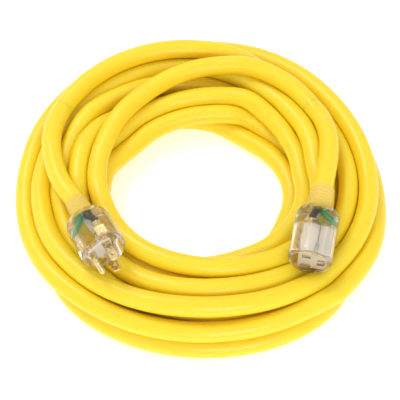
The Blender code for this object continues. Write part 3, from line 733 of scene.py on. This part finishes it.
def build_connector():
    end = CONNECTOR_FRAME
    r, length, bore = CONNECTOR_RADIUS, CONNECTOR_LENGTH, CORD_RADIUS + 0.25
    inner = r - SLEEVE_WALL
    shoulder = 5.5
    floor_of_core = -CORE_LENGTH - 0.4
    outside = [(0, floor_of_core), (inner, floor_of_core)]
    outside += rounded([(inner, 0), (r - 1.6, 0, 1.0), (r, -2.2, 1.4), (r, -6, 0)])
    outside += arc((r - shoulder, shoulder - length), shoulder, 0, -90, 12)
    pocket = [(bore, -length), (bore, 0.3 - CONNECTOR_JACKET_END), (0, 0.3 - CONNECTOR_JACKET_END)]
    body = turned("connector_clear_body", outside + pocket, 96, CLEAR, end)
    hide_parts("connector_housing")
    relief = strain_relief("connector_clear_relief", length + MEET_GAP, *CONNECTOR_RELIEF, end)
    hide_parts("connector_strain_relief")

    x, y, front = LAMP_SPOT
    back = front + LAMP_LENGTH
    lamp = turned("connector_neon_lamp", rounded([
        (0, -front), (LAMP_RADIUS, -front - 0.3, 1.0), (LAMP_RADIUS, -back + 0.3, 0.3), (0.6, -back),
        (0, -back),
    ]), 28, LAMP_GLASS, end, (x, y))
    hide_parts("connector_lamp")

    rx, ry, r_front = RESISTOR_SPOT
    r_back = r_front + RESISTOR_LENGTH
    bulge, waist = RESISTOR_RADIUS, RESISTOR_RADIUS - 0.25
    resistor = turned("connector_series_resistor", rounded([
        (0, -r_front), (bulge, -r_front, 0.4), (bulge, -r_front - 1.6, 0.4), (waist, -r_front - 2.0, 0.3),
        (waist, -r_back + 2.0, 0.3), (bulge, -r_back + 1.6, 0.4), (bulge, -r_back, 0.4), (0, -r_back),
    ]), 28, TAN, end, (rx, ry))
    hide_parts("connector_lamp_resistor")

    crimp_top = BLADE_SPACING / 2 + CRIMP_RADIUS + WIRE_RADIUS + 0.3
    blades_x = contact_spots(1)["line"][0]
    crimp_side = blades_x - CRIMP_RADIUS - WIRE_RADIUS - 0.3
    at_crimp = -CORE_LENGTH - 3.2
    runs = {
        "line": [
            (x, y, -back - 0.1), (x, y, -18), (x, y - 0.2, -24), (x - 0.6, y - 0.6, -28.6),
            (blades_x, crimp_top, at_crimp),
        ],
        "front": [
            (x, y, -front + 0.1), (x - 0.5, y - 0.1, -3.3), (0, y - 0.3, -3.1), (-6, 11.6, -3.3),
            (-9.4, 10.2, -4.4), (rx + 0.2, 7.4, -9), (rx, ry, -r_front + 0.1),
        ],
        "neutral": [
            (rx, ry, -r_back - 0.1), (rx, ry - 2, -24.5), (-10.8, -3, -29.2),
            (crimp_side - 0.4, -BLADE_SPACING / 2, at_crimp),
        ],
    }
    wires = []
    for which, points in runs.items():
        wire = local_tube(f"connector_lamp_{which}_lead", points, WIRE_RADIUS, TINNED, end, 10, 0.5)
        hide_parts(f"connector_lamp_{which}_wire")
        wires.append(wire)
    made = [body, relief, lamp, resistor, *wires]
    made += wiring("connector", 1, CORE_LENGTH + 0.5, CONNECTOR_JACKET_END, end)
    for piece in made:
        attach(piece, "connector")
    made.append(finish_node("connector_face_plate", CLEAR, None))
    made.append(finish_node("connector_core", WHITE_PLASTIC, 0.4))
    made += [
        finish_node(f"connector_{wire}_contact", BRASS, 0.15) for wire in ("line", "neutral", "ground")
    ]
    return made


CONNECTOR_PIECES = build_connector()

# ---------------------------------------------------------------- the coil's body and the leads' baked transforms


def declare_cords():
    connector_path, coil_path, plug_path = CORD_PATHS

    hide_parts("cord_coil")
    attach(COIL_CORD, "coil")

    for piece, body, hinge, far, relief, path, pieces in (
        (PLUG_CORD, "plug", plug_path[0], PLUG_FRAME, PLUG_LENGTH + PLUG_RELIEF[0], plug_path, PLUG_PIECES),
        (CONNECTOR_CORD, "connector", connector_path[-1], CONNECTOR_FRAME,
         CONNECTOR_LENGTH + CONNECTOR_RELIEF[0], connector_path, CONNECTOR_PIECES),
    ):
        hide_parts(f"{body}_lead")
        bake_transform(piece)


declare_cords()

# ---------------------------------------------------------------- floor and light


def area_light(name, spot, size, energy, target=(0, 0, 0), colour=(1, 1, 1)):
    data = bpy.data.lights.new(name, "AREA")
    data.shape = "DISK"
    data.size = size
    data.energy = energy
    data.color = colour
    lamp = bpy.data.objects.new(name, data)
    bpy.context.scene.collection.objects.link(lamp)
    lamp.location = spot
    lamp.rotation_euler = (Vector(target) - Vector(spot)).to_track_quat("-Z", "Y").to_euler()


def build_studio():
    mesh = bpy.data.meshes.new("floor")
    half = 6.0
    corners = [(-half, -half, 0), (half, -half, 0), (half, half, 0), (-half, half, 0)]
    mesh.from_pydata(corners, [], [(0, 1, 2, 3)])
    sweep = new_material("studio_floor", Emission_Color=(1, 1, 1, 1), Emission_Strength=0.34)
    floor = link("floor", mesh, vary(sweep, [(0.93, 0.94, 0.97), (0.94, 0.95, 0.98)], 2.0, (0.7, 0.8)))
    world = bpy.data.worlds.new("studio")
    world.use_nodes = True
    world.node_tree.nodes["Background"].inputs["Color"].default_value = (1, 1, 1, 1)
    world.node_tree.nodes["Background"].inputs["Strength"].default_value = 0.80
    bpy.context.scene.world = world
    area_light("key", (-0.75, 0.55, 1.5), 0.7, 9.5)
    area_light("fill", (0.6, -1.3, 0.9), 0.8, 8)
    bpy.context.scene.view_settings.view_transform = "Standard"


build_studio()
